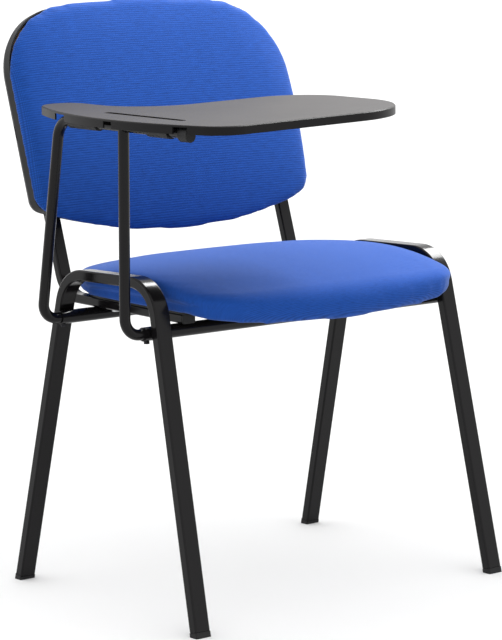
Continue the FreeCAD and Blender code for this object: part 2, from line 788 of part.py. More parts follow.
def back_shell():
    """Moulded tray behind the back, let out below for the uprights and slotted at the right side."""
    body, corners = back_block("shell_outer", "shell_in", "back_face - shell_depth", "shell_depth")
    rear = mm("shell_depth - back_face")
    slope = bevel(body, "shell_rear_edge", corners, "shell_round", at_depth(rear))
    slope = bevel(body, "shell_rear_soft", slope, "shell_soft", at_depth(rear))
    bevel(body, "shell_side_soft", slope, "shell_soft", at_depth(rear - mm("shell_round")))
    floor = "back_face - shell_depth + shell_wall"
    hollow, corners = back_block("shell_inner", "(shell_in + shell_wall)", floor, "shell_depth")
    bevel(hollow, "shell_inner_edge", corners, "shell_bevel", at_depth(-mm(floor)))
    tools = [hollow]
    for name, middle in (("right", "-support_x"), ("left", "support_x")):
        room = "support_tube_w / 2 + rail_room"
        low = ("%s - (%s)" % (middle, room), "-back_face - shell_wall", "back_low_s")
        high = ("%s + %s" % (middle, room), "support_tube_d / 2 + rail_room", "back_low_s + shell_notch_h")
        tools.append(back_box("shell_notch_" + name, low, high))
    low = ("-back_half_w - shell_wall", "-slot_w / 2", "slot_s - slot_h / 2")
    high = ("-back_half_w + shell_in + 2 * shell_wall", "slot_w / 2", "slot_s + slot_h / 2")
    tools.append(back_box("shell_slot", low, high))
    shell = doc.addObject("Part::Cut", "back_shell")
    shell.Base = body
    shell.Tool = compound("shell_tools", tools)
    node(shell, "back_shell")


def back_board():
    """Plywood of the back, in front of the uprights and inside the tray."""
    body = back_block("back_plywood", "back_board_in", "support_tube_d / 2", "back_board_t")[0]
    step = ("octagon", "screw_hole_d", "0", "support_tube_d / 2 + screw_bite")
    drilled("back_board", body, back_frame(), back_screw_places(), step)


def back_section(x):
    """Cut through the back's cushion: flat base, rounded head and foot, and a crowned front."""
    half = mm("back_half_w") / STATIONS[-1]
    low = mm("back_low_s") + bow(x, mm("back_bow_r")) + drawn_in(x, half, mm("back_low_corner"))
    high = mm("back_top_s") - bow(x, mm("back_top_bow_r")) - drawn_in(x, half, mm("back_top_corner"))
    roll = mm("back_edge_t") / 2
    base = mm("back_face")
    edge = base + mm("back_edge_t") - drawn_in(x, half, roll)
    share = 1 - (x / half) ** 2
    crest = edge + mm("back_crown") * (mm("back_crown_side") + mm("1 - back_crown_side") * math.sqrt(share))

    def at(s, forward):
        return Vector(x, -forward, s)

    foot = at(low + roll / 2, base)
    return wire(foot, [
        at(high - roll / 2, base),
        (at(high, (base + edge) / 2), at(high - roll, edge)),
        (at((low + high) / 2, crest), at(low + roll, edge)),
        (at(low, (base + edge) / 2), foot),
    ])


def back_cushion():
    """Foam and cloth of the back."""
    cushion = doc.addObject("Part::Feature", "back_cushion")
    cushion.Shape = Part.makeLoft([back_section(x) for x in across(mm("back_half_w"))], True, True)
    node(cushion, "back_cushion", back_frame())


# Arm
def arm_section(body, name):
    section = sketch_on(body, name + "_section", "XY_Plane")
    ring(section, "arm_tube_d")
    return section


def arm_run(body, name, section, drop):
    """Lower half of a post and the run that goes into the socket of a cross tube."""
    end = ("arm_out + arm_insert", "-" + drop)
    path = spine(body, name + "_run_path", "XZ_Plane", ("0", "-" + drop), end, "arm_bend")
    pipe(body, name + "_run", section, path)


def arm_rear_tube():
    """Run, leaning post and bar, bent in one piece and bored at the bar's end for its cap."""
    body = new_body("arm_rear_bend")
    section = arm_section(body, "rear_tube")
    arm_run(body, "rear_tube", section, "post_half")
    reach = "(bar_front_y + rear_post_top_y)"
    end = ("-%s * post_cos" % reach, "post_half + %s * post_slope * post_cos" % reach)
    path = spine(body, "bar_path", "YZ_Plane", ("0", "post_half"), end, "bar_bend")
    pipe(body, "bar_pipe", section, path)
    middle = Vector(-mm("arm_x"), mm("(cross_rear_y + rear_post_top_y) / 2"), mm("(cross_z + bar_z) / 2"))
    place = Placement(middle, Rotation(X_AXIS, math.degrees(math.atan(mm("post_slope")))))
    bar_end = turned((-mm("arm_x"), -mm("bar_front_y"), mm("bar_z")), X_AXIS, -90)
    step = ("round", "arm_tube_d - 2 * arm_tube_wall", "-arm_tube_d", "glide_plug + plug_gap")
    drilled("arm_rear_tube", body, place, [bar_end], step)


def arm_front_post():
    """Run and upright post, its top saddled to the bar."""
    body = new_body("arm_front_post")
    section = arm_section(body, "front_post")
    arm_run(body, "front_post", section, "(bar_z - cross_z) / 2")
    pad(body, "front_post_top", section, "(bar_z - cross_z) / 2")
    saddle = sketch_on(body, "front_post_saddle", "XZ_Plane")
    ring(saddle, "(arm_tube_d + 2 * weld_gap)", ("0", "(bar_z - cross_z) / 2"))
    pocket(body, "front_post_saddle_cut", saddle, "2 * arm_tube_d", midplane=True)
    middle = Vector(-mm("arm_x"), mm("cross_front_y"), mm("(cross_z + bar_z) / 2"))
    node(body, "arm_front_post", Placement(middle, Rotation()))


def bar_end_cap():
    """Plastic end of the bar: a plug, a collar and a hanging knob."""
    body = new_body("bar_end_cap")
    plug = sketch_on(body, "cap_plug", "XZ_Plane")
    ring(plug, "(arm_tube_d - 2 * arm_tube_wall - 2 * plug_gap)")
    pad(body, "cap_plug_pad", plug, "glide_plug", reverse=True)
    for name, drop in (("cap_collar", "0"), ("cap_knob", "-bar_cap_drop")):
        disc = sketch_on(body, name, "XZ_Plane")
        ring(disc, "bar_cap_d", ("0", drop))
        pad(body, name + "_pad", disc, "bar_cap_l")
    node(body, "bar_end_cap", Placement(Vector(-mm("arm_x"), -mm("bar_front_y"), mm("bar_z")), Rotation()))


# Tablet and its hinge; the frame's origin is on the bar's axis
def tablet_frame():
    return Placement(Vector(-mm("arm_x"), 0, mm("bar_z")), Rotation(Y_AXIS, -mm("tablet_tilt")))


def tablet_plan(inset):
    """Corners and arcs of the tablet: a bowed strip over the bar that widens into the writing surface."""
    outer = "(tablet_out_r - %s)" % inset
    at_front = "* %s / (tablet_out_r - tablet_front_corner)" % outer
    at_rear = "* %s / (tablet_out_r - tablet_rear_r)" % outer
    front_out = "out_middle - (out_middle - front_middle) " + at_front
    rear_out = "out_middle - (out_middle - rear_middle) " + at_rear
    front = "(%s - tablet_front_y)" % inset
    inner = "(-tablet_inner_y - %s)" % inset
    end = "(tablet_reach - %s)" % inset
    strip = "(tablet_strip - %s)" % inset
    waist = "(tablet_waist + %s)" % inset
    corners = [
        (front_out, "-tablet_out_y - front_reach " + at_front),
        ("front_middle", front),
        ("tablet_reach - tablet_end_corner", front),
        (end, "tablet_end_corner - tablet_front_y"),
        (end, "-tablet_inner_y - tablet_inner_corner"),
        ("tablet_reach - tablet_inner_corner", inner),
        ("tablet_strip + tablet_waist", inner),
        (strip, "tablet_waist - tablet_inner_y"),
        (strip, "rear_reach - tablet_out_y"),
        (rear_out, "-tablet_out_y + rear_reach " + at_rear),
    ]
    arcs = {
        0: ("(tablet_front_corner - %s)" % inset, True),
        2: ("(tablet_end_corner - %s)" % inset, True),
        4: ("(tablet_inner_corner - %s)" % inset, True),
        6: (waist, False),
        8: ("(tablet_rear_r - %s)" % inset, True),
        9: (outer, True),
    }
    return corners, arcs


def ears():
    """Middles of the screws through the hinge blocks' ears."""
    across_bar = "block_r + block_ear / 2"
    inset = "block_ear / 2"
    return [
        (across_bar, "block_rear_y - %s" % inset),
        (across_bar, "block_rear_y - block_rear_l + %s" % inset),
        (across_bar, "-block_front_y - %s" % inset),
        (across_bar, "-block_front_y - block_front_l + %s" % inset),
    ]


def ear_places():
    return [tablet_frame() * Placement(Vector(mm(x), mm(y), 0), Rotation()) for x, y in ears()]


def tablet_top():
    """Moulded tablet: skin, skirt let out round the posts, ribs, screw pads, pen groove and slot."""
    body = new_body("tablet_moulding")
    base = sketch_on(body, "tablet_outline", "XY_Plane", "skin_low + tablet_skin - tablet_skirt")
    outline(base, *tablet_plan("0"))
    block = pad(body, "tablet_pad", base, "tablet_skirt")
    top = mm("skin_low + tablet_skin")
    bevel(body, "tablet_top_edge", block, "tablet_edge",
          lambda edge: all(abs(vertex.Z - top) < 1e-6 for vertex in edge.Vertexes))
    inner = sketch_on(body, "tablet_inner", "XY_Plane", "skin_low")
    outline(inner, *tablet_plan("tablet_skirt_t"))
    pocket(body, "tablet_hollow", inner, "tablet_skirt")
    ribs_along = sketch_on(body, "tablet_ribs_along", "XY_Plane", "skin_low - rib_h")
    for row in ("-1", "0", "1"):
        y = "(%s * rib_pitch - (tablet_front_y + tablet_inner_y) / 2)" % row
        rectangle(ribs_along, ("rib_start", "%s - rib_t / 2" % y), ("rib_end", "%s + rib_t / 2" % y))
    pad(body, "tablet_ribs_along_pad", ribs_along, "rib_h + tablet_skin / 2")
    ribs_over = sketch_on(body, "tablet_ribs_over", "XY_Plane", "skin_low - rib_h")
    for column in ("0", "1", "2"):
        x = "(rib_column + %s * rib_pitch)" % column
        low = "-tablet_front_y + tablet_skirt"
        high = "-tablet_inner_y - tablet_skirt"
        rectangle(ribs_over, ("%s - rib_t / 2" % x, low), ("%s + rib_t / 2" % x, high))
    pad(body, "tablet_ribs_over_pad", ribs_over, "rib_h + tablet_skin / 2")
    pads = sketch_on(body, "tablet_pads", "XY_Plane", "block_ear_t")
    for rear_y, length in (("block_rear_y", "block_rear_l"), ("-block_front_y", "block_front_l")):
        rectangle(pads, ("block_r", "%s - %s" % (rear_y, length)), ("block_r + block_ear", rear_y))
    pad(body, "tablet_screw_pads", pads, "skin_low - block_ear_t + tablet_skin / 2")
    notches = sketch_on(body, "tablet_notches", "XY_Plane", "skin_low")
    past = "-2 * tablet_out"
    half = "(arm_tube_d / 2 + post_notch)"
    rectangle(notches, (past, "cross_front_y - " + half), ("-block_r", "cross_front_y + " + half))
    inside = "block_r + tablet_skirt_t"
    rear = (inside, "rear_post_top_y + relief_after")
    rectangle(notches, (past, "rear_post_top_y - relief_before"), rear)
    cap = (past, "-bar_front_y - bar_cap_l - cap_relief")
    rectangle(notches, cap, (inside, "-bar_front_y + cap_relief"))
    pocket(body, "tablet_post_notches", notches, "tablet_skirt")
    groove = sketch_on(body, "tablet_groove", "XY_Plane", "skin_low + tablet_skin")
    radius = "groove_w / 2"
    high = "-groove_rear_y"
    low = "-groove_rear_y - groove_l"
    near = "groove_in - groove_w / 2"
    far = "groove_in + groove_w / 2"
    outline(groove, [
        (near, "%s + %s" % (low, radius)), ("groove_in", low), (far, "%s + %s" % (low, radius)),
        (far, "%s - %s" % (high, radius)), ("groove_in", high), (near, "%s - %s" % (high, radius)),
    ], {0: (radius, True), 1: (radius, True), 3: (radius, True), 4: (radius, True)})
    pocket(body, "tablet_pen_groove", groove, "groove_depth")
    slot = sketch_on(body, "tablet_slot", "XY_Plane", "skin_low + tablet_skin")
    rear = ("pen_slot_in + pen_slot_w / 2", "-groove_rear_y")
    rectangle(slot, ("pen_slot_in - pen_slot_w / 2", "-groove_rear_y - pen_slot_l"), rear)
    pocket(body, "tablet_pen_slot", slot, "pen_slot_depth")
    step = ("octagon", "block_screw_d + 2 * plug_gap", "0", "skin_low + tablet_skin / 2")
    drilled("tablet_top", body, tablet_frame(), ear_places(), step)


def hinge_block(label, rear_y, length, screws):
    """Block that turns on the bar, with an ear screwed up into the tablet."""
    body = new_body(label + "_moulding")
    section = sketch_on(body, label + "_section", "XZ_Plane", "-(%s)" % rear_y)
    outline(section, [
        ("-block_r", "0"), ("0", "-block_r"), ("block_r", "0"), ("block_r + block_ear", "0"),
        ("block_r + block_ear", "block_ear_t"), ("block_r", "block_ear_t"), ("block_r", "skin_low"),
        ("-block_r", "skin_low"),
    ], {0: ("block_r", True), 1: ("block_r", True)})
    ring(section, "(arm_tube_d + 2 * hinge_gap)")
    pad(body, label + "_pad", section, length)
    step = ("octagon", "block_screw_d + 2 * plug_gap", "-block_ear_t", "2 * block_ear_t")
    drilled(label, body, tablet_frame(), screws, step)


def tablet_stop():
    """Steel tongue welded to the bar."""
    body = new_body("tablet_stop")
    section = sketch_on(body, "stop_section", "XZ_Plane", "stop_y")
    rectangle(section, ("0", "-stop_t / 2"), ("stop_reach", "stop_t / 2"))
    pad(body, "stop_tongue", section, "stop_w", midplane=True)
    bar = sketch_on(body, "stop_bar", "XZ_Plane", "stop_y")
    ring(bar, "(arm_tube_d + 2 * weld_gap)")
    pocket(body, "stop_saddle", bar, "2 * stop_w", midplane=True)
    node(body, "tablet_stop", tablet_frame())


def stop_pad():
    """Rubber pad on the tongue, just under the tablet's skin."""
    rubber = doc.addObject("Part::Box", "stop_pad")
    bind(rubber, "Length", "stop_pad_l")
    bind(rubber, "Width", "stop_w")
    bind(rubber, "Height", "skin_low - stop_gap - stop_t / 2")
    corner = Vector(mm("stop_reach - stop_pad_l"), -mm("stop_y + stop_w / 2"), mm("stop_t / 2"))
    node(rubber, "stop_pad", tablet_frame() * Placement(corner, Rotation()))


SIDES = (("right", -1), ("left", 1))
for side_name, side_sign in SIDES:
    leg_loop("leg_loop_" + side_name, side_sign)
    foot_glide("foot_glide_front_" + side_name, side_sign, -1)
    foot_glide("foot_glide_rear_" + side_name, side_sign, 1)
    back_support("back_support_" + side_name, side_sign)
plugs = [support_plug("support_plug_" + side_name, side_sign) for side_name, side_sign in SIDES]
node(compound("support_plugs", plugs), "support_plugs")

cross_rows = (mm("cross_front_y"), mm("cross_rear_y"))
cross_tube("front_cross_tube", cross_rows[0])
cross_tube("rear_cross_tube", cross_rows[1])
group("cross_tube_plugs", [
    ("octagon", "cross_tube_d - 2 * cross_tube_wall - 2 * plug_gap", "-glide_plug", "0"),
    ("round", "cross_tube_d", "0", "cap_head"),
], [Placement(Vector(mm("cross_left_x"), y, mm("cross_z")), Rotation(Y_AXIS, 90)) for y in cross_rows])
group("socket_bolts", [
    ("hexagon", "bolt_head_d", "-cross_tube_d / 2 - weld_gap - bolt_head_t", "-cross_tube_d / 2 - weld_gap"),
    ("octagon", "bolt_d", "-cross_tube_d / 2 - weld_gap", "-arm_tube_d / 2 - weld_gap"),
], [Placement(Vector(-mm("socket_bolt_x"), y, mm("cross_z")), Rotation()) for y in cross_rows])

seat_pan()
seat_board()
seat_cushion()
group("seat_screws", [
    ("hexagon", "screw_head_d", "-support_tube_d - screw_head_t", "-support_tube_d"),
    ("octagon", "screw_d", "-support_tube_d", "seat_pan_t + screw_bite - weld_gap"),
], seat_screw_places("seat_base_z"))

back_shell()
back_board()
back_cushion()
group("back_screws", [
    ("hexagon", "screw_head_d", "-support_tube_d / 2 - screw_head_t", "-support_tube_d / 2"),
    ("octagon", "screw_d", "-support_tube_d / 2", "support_tube_d / 2 + screw_bite - weld_gap"),
], back_screw_places())

arm_rear_tube()
arm_front_post()
bar_end_cap()
tablet_top()
hinge_block("hinge_block_rear", "block_rear_y", "block_rear_l", ear_places()[:2])
hinge_block("hinge_block_front", "-block_front_y", "block_front_l", ear_places()[2:])
group("hinge_screws", [
    ("octagon", "block_head_d", "-block_head_t", "0"),
    ("octagon", "block_screw_d", "0", "skin_low + tablet_skin / 4"),
], ear_places())
tablet_stop()
stop_pad()

doc.recompute()
for item in nodes:
    item.Placement = Placement(Vector(mm("middle_x"), mm("middle_y"), 0), Rotation()) * item.Placement
doc.recompute()

faults = [item.Label for item in doc.Objects if {"Invalid", "Error"} & set(item.State)]
faults += [item.Label for item in nodes if item.Shape.isNull() or not item.Shape.isValid()]
if faults:
    raise RuntimeError("faulty: " + ", ".join(faults))
os.makedirs("parts", exist_ok=True)
for item in nodes:
    item.Shape.exportStep("parts/%s.step" % item.Label)
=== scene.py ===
"""Looks of a stacking conference chair with a folding writing tablet, built round its CAD model.

Metres, in the CAD frame: the chair faces -Y, the tablet is on the -X side and the floor is Z = 0.
"""
import math

import bmesh
import bpy
import numpy as np
from bpy.props import FloatProperty, FloatVectorProperty, IntProperty, PointerProperty, StringProperty
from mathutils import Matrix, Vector


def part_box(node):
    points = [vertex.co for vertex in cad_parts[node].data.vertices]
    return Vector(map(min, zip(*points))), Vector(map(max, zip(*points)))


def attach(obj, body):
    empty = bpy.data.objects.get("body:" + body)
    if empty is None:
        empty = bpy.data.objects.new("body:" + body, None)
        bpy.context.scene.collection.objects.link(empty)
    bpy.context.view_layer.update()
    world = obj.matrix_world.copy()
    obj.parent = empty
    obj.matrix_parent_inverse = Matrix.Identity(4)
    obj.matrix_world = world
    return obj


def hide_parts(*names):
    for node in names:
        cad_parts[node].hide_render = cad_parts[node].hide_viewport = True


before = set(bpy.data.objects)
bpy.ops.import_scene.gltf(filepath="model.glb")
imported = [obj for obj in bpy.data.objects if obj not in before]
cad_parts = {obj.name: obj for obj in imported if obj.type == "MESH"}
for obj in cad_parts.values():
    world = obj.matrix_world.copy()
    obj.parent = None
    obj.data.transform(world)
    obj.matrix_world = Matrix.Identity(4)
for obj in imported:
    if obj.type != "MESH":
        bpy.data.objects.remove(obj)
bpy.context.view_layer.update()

bl_info = {
    "name": "Tablet arm chair",
    "version": (1, 0, 0),
    "blender": (4, 5, 0),
    "location": "3D View > Sidebar > Chair",
    "description": "Upholstery, tube frame, writing tablet and studio of a tablet arm chair",
    "category": "Object",
}

CHAIR = "chair"
MM = 0.001
# Points of the CAD mesh that are nearer than this are one point
MERGE_REACH = 0.02 * MM
# Rectangular tubes, whose corners are rounded here
TUBES = ("leg_loop_left", "leg_loop_right", "back_support_left", "back_support_right")


class UpholsterySettings(bpy.types.PropertyGroup):
    """Cloth and foam of the seat and the back."""

    cloth: StringProperty(
        name="Cloth", description="Colour of the cloth as sRGB hex", default="#14408B")
    sheen: StringProperty(
        name="Sheen", description="Colour of the cloth's nap as sRGB hex", default="#D8E8FF")
    rib: FloatProperty(
        name="Rib spacing", description="Distance between two ribs of the weave as drawn on the back",
        default=3.4 * MM, unit="LENGTH", precision=4)
    seat_rib: FloatProperty(
        name="Seat rib spacing", description="Distance between two ribs as drawn on the seat",
        default=2.2 * MM, unit="LENGTH", precision=4)
    voxel: FloatProperty(
        name="Face size", description="Face size of the cover before it is blown up",
        default=5 * MM, unit="LENGTH", precision=4)
    seat_ease: FloatProperty(
        name="Seat ease", description="How far outside the foam the seat's cover starts",
        default=-1 * MM, unit="LENGTH", precision=4)
    back_ease: FloatProperty(
        name="Back ease", description="How far outside the foam the back's cover starts",
        default=1.6 * MM, unit="LENGTH", precision=4)
    margin: FloatProperty(
        name="Margin", description="How far from the boards the cover is held still",
        default=4 * MM, unit="LENGTH", precision=4)
    fade: FloatProperty(
        name="Fade", description="Distance from the boards over which the cover comes loose",
        default=12 * MM, unit="LENGTH", precision=4)
    pressure: FloatProperty(name="Pressure", description="Pressure inside the cover", default=4.0)
    frames: IntProperty(name="Frames", description="Frames of the cloth simulation", default=20)
    quality: IntProperty(name="Quality", description="Steps of the simulation in a frame", default=5)
    swell: FloatProperty(
        name="Swell", description="Furthest that a point of the cover may move outwards",
        default=2.5 * MM, unit="LENGTH", precision=4)
    spread: IntProperty(name="Spread", description="Passes that even out the swelling", default=40)
    calm: IntProperty(name="Calm", description="Passes that smooth the blown-up cover", default=16)
    calm_step: FloatProperty(
        name="Calm step", description="Share of the way to its neighbours that a point moves in a pass",
        default=0.5, subtype="FACTOR")
    rim_calm: FloatProperty(
        name="Rim calm", description="Share of that smoothing where the cover is held",
        default=0.35, subtype="FACTOR")
    bulge: FloatProperty(
        name="Bulge", description="How far the seat's cover bulges at each side",
        default=7.5 * MM, unit="LENGTH", precision=4)
    taper: FloatProperty(
        name="Taper", description="How much narrower the back's cover is at its foot",
        default=0.02, subtype="FACTOR")
    settle: FloatProperty(
        name="Settle", description="How far the back's cover has settled on its board",
        default=1.2 * MM, unit="LENGTH", precision=4)
    sag: FloatProperty(
        name="Sag", description="How far it sags further in front of the board",
        default=5.3 * MM, unit="LENGTH", precision=4)
    turn_z: FloatProperty(
        name="Turn", description="Height at which the seat's cloth turns down",
        default=450 * MM, unit="LENGTH", precision=4)
    lip: FloatProperty(
        name="Lip", description="Depth of the seat's front where all of the cloth has turned down",
        default=20 * MM, unit="LENGTH", precision=4)
    roll: FloatProperty(
        name="Roll", description="Depth of the seat's rounded edges",
        default=60 * MM, unit="LENGTH", precision=4)
    fill: FloatProperty(
        name="Fill", description="How tightly the cover is filled", default=0.85, subtype="FACTOR")


class FrameSettings(bpy.types.PropertyGroup):
    """Bent steel tube of the chair."""

    paint: StringProperty(
        name="Paint", description="Colour of the powder coat as sRGB hex", default="#0F0E0F")
    corner: FloatProperty(
        name="Tube corner", description="Rounding of the rectangular tubes' edges",
        default=1.2 * MM, unit="LENGTH", precision=4)
    corner_faces: IntProperty(
        name="Corner faces", description="Faces across a rounded edge", default=2)
    corner_turn: FloatProperty(
        name="Corner turn", description="Least turn between two faces whose edge is rounded",
        default=math.radians(25), subtype="ANGLE")
    rake: FloatProperty(
        name="Back rake", description="Lean of the back's uprights",
        default=math.radians(18.2), subtype="ANGLE")
    back_foot: FloatVectorProperty(
        name="Back corner", description="Where the uprights' line meets the seat rails",
        default=(0.0262, 0.1596, 0.4102), subtype="TRANSLATION")
    board_face: FloatProperty(
        name="Board face", description="Distance from the uprights' line to the back board's face",
        default=18 * MM, unit="LENGTH", precision=4)


class TabletSettings(bpy.types.PropertyGroup):
    """Moulded tablet and the other plastic pieces."""

    # The top's colour is the black plastic painted paler: painted light and reflection from above
    top: StringProperty(
        name="Tablet", description="Colour of the tablet's top as sRGB hex", default="#393737")
    edge: StringProperty(
        name="Tablet edge", description="Colour of the tablet's edge as sRGB hex", default="#0E0D0E")
    skin: FloatProperty(
        name="Skin", description="Depth below the top at which the edge's colour starts",
        default=0.5 * MM, unit="LENGTH", precision=4)
    skin_blend: FloatProperty(
        name="Skin blend", description="Height over which the two colours meet",
        default=0.2 * MM, unit="LENGTH", precision=4)
    moulding: StringProperty(
        name="Plastic", description="Colour of the black mouldings as sRGB hex", default="#121213")


class StageSettings(bpy.types.PropertyGroup):
    """Floor, light and camera."""

    floor: StringProperty(
        name="Floor", description="Colour of the floor as sRGB hex", default="#FAFAFA")
    floor_radius: FloatProperty(
        name="Floor radius", description="Radius of the floor", default=60, unit="LENGTH")
    sky: FloatProperty(name="Sky", description="Strength of the light all round", default=1.3)
    side: FloatProperty(
        name="Side light", description="Power of the light on the chair's left",
        default=200, unit="POWER")
    side_size: FloatProperty(
        name="Side light size", description="Width of that light", default=1.6, unit="LENGTH")
    side_place: FloatVectorProperty(
        name="Side light place", description="Where that light hangs",
        default=(2.0, 0.4, 2.9), subtype="TRANSLATION")
    top: FloatProperty(
        name="Top light", description="Power of the light from above", default=20, unit="POWER")
    top_size: FloatProperty(
        name="Top light size", description="Width of that light", default=2.0, unit="LENGTH")
    top_place: FloatVectorProperty(
        name="Top light place", description="Where that light hangs",
        default=(0.2, -0.6, 3.2), subtype="TRANSLATION")
    light_aim: FloatVectorProperty(
        name="Light aim", description="Point that both lights shine at",
        default=(0.0, 0.0, 0.5), subtype="TRANSLATION")
    eye: FloatVectorProperty(
        name="Camera", description="Where the camera stands",
        default=(-2.4273, -2.9523, 0.983), subtype="TRANSLATION")
    aim: FloatVectorProperty(
        name="Aim", description="Point that the camera looks at",
        default=(0.0100, -0.0124, 0.3756), subtype="TRANSLATION")
    lens: FloatProperty(
        name="Lens", description="Focal length in millimetres", default=152.8, unit="CAMERA")


def linear(code, gain=1.0):
    """Linear colour of an sRGB hex value, made darker or paler by a gain."""
    shares = [int(code[i:i + 2], 16) / 255 for i in (1, 3, 5)]
    levels = [s / 12.92 if s <= 0.04045 else ((s + 0.055) / 1.055) ** 2.4 for s in shares]
    return [min(1.0, gain * level) for level in levels] + [1.0]


def feed(tree, node, inputs):
    """Set a node's inputs; each is a plain value or another node's socket."""
    for key, value in inputs.items():
        if isinstance(value, bpy.types.NodeSocket):
            tree.links.new(value, node.inputs[key])
        else:
            node.inputs[key].default_value = value


def add_node(tree, kind, inputs=None, **settings):
    """Node with its settings and inputs."""
    node = tree.nodes.new(kind)
    for name, value in settings.items():
        setattr(node, name, value)
    feed(tree, node, inputs or {})
    return node


def new_material(name, inputs):
    """Material with a Principled shader; returns it, its tree and the shader's node."""
    material = bpy.data.materials.new(name)
    material.use_nodes = True
    tree = material.node_tree
    surface = tree.nodes["Principled BSDF"]
    feed(tree, surface, inputs)
    return material, tree, surface


def bands(period):
    """Scale of a Wave texture whose bands are a period apart: it runs 20 radians in a unit."""
    return 2 * math.pi / (20 * period)


def woven_polyester(settings):
    """Woven polyester contract cloth: ribs across the chair, matt, paler where it is seen edge on."""
    material, tree, surface = new_material("woven_polyester", {
        "Roughness": 0.9, "Specular IOR Level": 0.15,
        "Sheen Weight": 0.2, "Sheen Roughness": 0.35, "Sheen Tint": linear(settings.sheen)})
    spot = add_node(tree, "ShaderNodeUVMap", uv_map="weave").outputs["UV"]
    # Real threads are under a millimetre; the ribs are drawn coarser so that they show
    ribs = add_node(tree, "ShaderNodeTexWave", {
        "Vector": spot, "Scale": bands(settings.rib),
        "Distortion": 0.9, "Detail": 1.0, "Detail Scale": 0.6}, bands_direction="Y").outputs["Fac"]
    threads = add_node(tree, "ShaderNodeTexWave", {
        "Vector": spot, "Scale": bands(settings.rib / 2),
        "Distortion": 0.6}, bands_direction="X").outputs["Fac"]
    weave = add_node(tree, "ShaderNodeMath", {
        0: ribs, 1: threads}, operation="MULTIPLY").outputs["Value"]
    # Slubs, the thick places of a yarn, are some 17 mm long and 2.4 mm high
    slub_spot = add_node(tree, "ShaderNodeMapping", {
        "Vector": spot, "Scale": (1 / (16.7 * MM), 1 / (2.38 * MM), 1)}).outputs["Vector"]
    slubs = add_node(tree, "ShaderNodeTexNoise", {
        "Vector": slub_spot, "Scale": 1.0, "Detail": 2.0}).outputs["Fac"]
    relief = add_node(tree, "ShaderNodeMath", {0: weave, 1: slubs}, operation="ADD").outputs["Value"]
    share = add_node(tree, "ShaderNodeMapRange", {
        "Value": relief, "From Min": 0.3, "From Max": 1.3}).outputs["Result"]
    tone = add_node(tree, "ShaderNodeMix", {
        "Factor": share, "A": linear(settings.cloth, 0.68), "B": linear(settings.cloth, 1.38)},
        data_type="RGBA").outputs["Result"]
    bump = add_node(tree, "ShaderNodeBump", {
        "Height": relief, "Strength": 0.3, "Distance": 0.5 * MM}).outputs["Normal"]
    feed(tree, surface, {"Base Color": tone, "Normal": bump})
    return material


def powder_coat(settings):
    """Powder-coated steel tube: black, half gloss, with the coat's fine orange peel."""
    material, tree, surface = new_material("powder_coated_steel", {
        "Base Color": linear(settings.paint), "Specular IOR Level": 0.17})
    spot = add_node(tree, "ShaderNodeTexCoord").outputs["Object"]
    peel = add_node(tree, "ShaderNodeTexNoise", {
        "Vector": spot, "Scale": 1 / (1.6 * MM), "Detail": 1.0}).outputs["Fac"]
    drift = add_node(tree, "ShaderNodeTexNoise", {
        "Vector": spot, "Scale": 1 / (55 * MM), "Detail": 3.0}).outputs["Fac"]
    gloss = add_node(tree, "ShaderNodeMapRange", {
        "Value": drift, "From Min": 0.3, "From Max": 0.7,
        "To Min": 0.12, "To Max": 0.22}).outputs["Result"]
    bump = add_node(tree, "ShaderNodeBump", {
        "Height": peel, "Strength": 0.12, "Distance": 0.3 * MM}).outputs["Normal"]
    feed(tree, surface, {"Roughness": gloss, "Normal": bump})
    return material


def moulded_plastic(settings):
    """Moulded polypropylene: black and dull, with the fine spark-eroded grain of its mould."""
    material, tree, surface = new_material("moulded_polypropylene", {"Specular IOR Level": 0.24})
    spot = add_node(tree, "ShaderNodeTexCoord").outputs["Object"]
    grain = add_node(tree, "ShaderNodeTexNoise", {
        "Vector": spot, "Scale": 1 / (1.2 * MM), "Detail": 2.0}).outputs["Fac"]
    clouds = add_node(tree, "ShaderNodeTexNoise", {
        "Vector": spot, "Scale": 1 / (70 * MM), "Detail": 4.0}).outputs["Fac"]
    tone = add_node(tree, "ShaderNodeMix", {
        "Factor": clouds, "A": linear(settings.moulding, 0.86), "B": linear(settings.moulding, 1.18)},
        data_type="RGBA").outputs["Result"]
    gloss = add_node(tree, "ShaderNodeMapRange", {
        "Value": clouds, "From Min": 0.3, "From Max": 0.7,
        "To Min": 0.45, "To Max": 0.55}).outputs["Result"]
    bump = add_node(tree, "ShaderNodeBump", {
        "Height": grain, "Strength": 0.3, "Distance": 0.15 * MM}).outputs["Normal"]
    feed(tree, surface, {"Base Color": tone, "Roughness": gloss, "Normal": bump})
    return material


def tablet_plane():
    """Normal of the tablet's top and its distance from the origin, from the CAD mesh's widest face."""
    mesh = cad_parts["tablet_top"].data
    upward = [face for face in mesh.polygons if face.normal.z > 0.9]
    normal = max(upward, key=lambda face: face.area).normal.copy()
    return normal, max(vert.co.dot(normal) for vert in mesh.vertices)


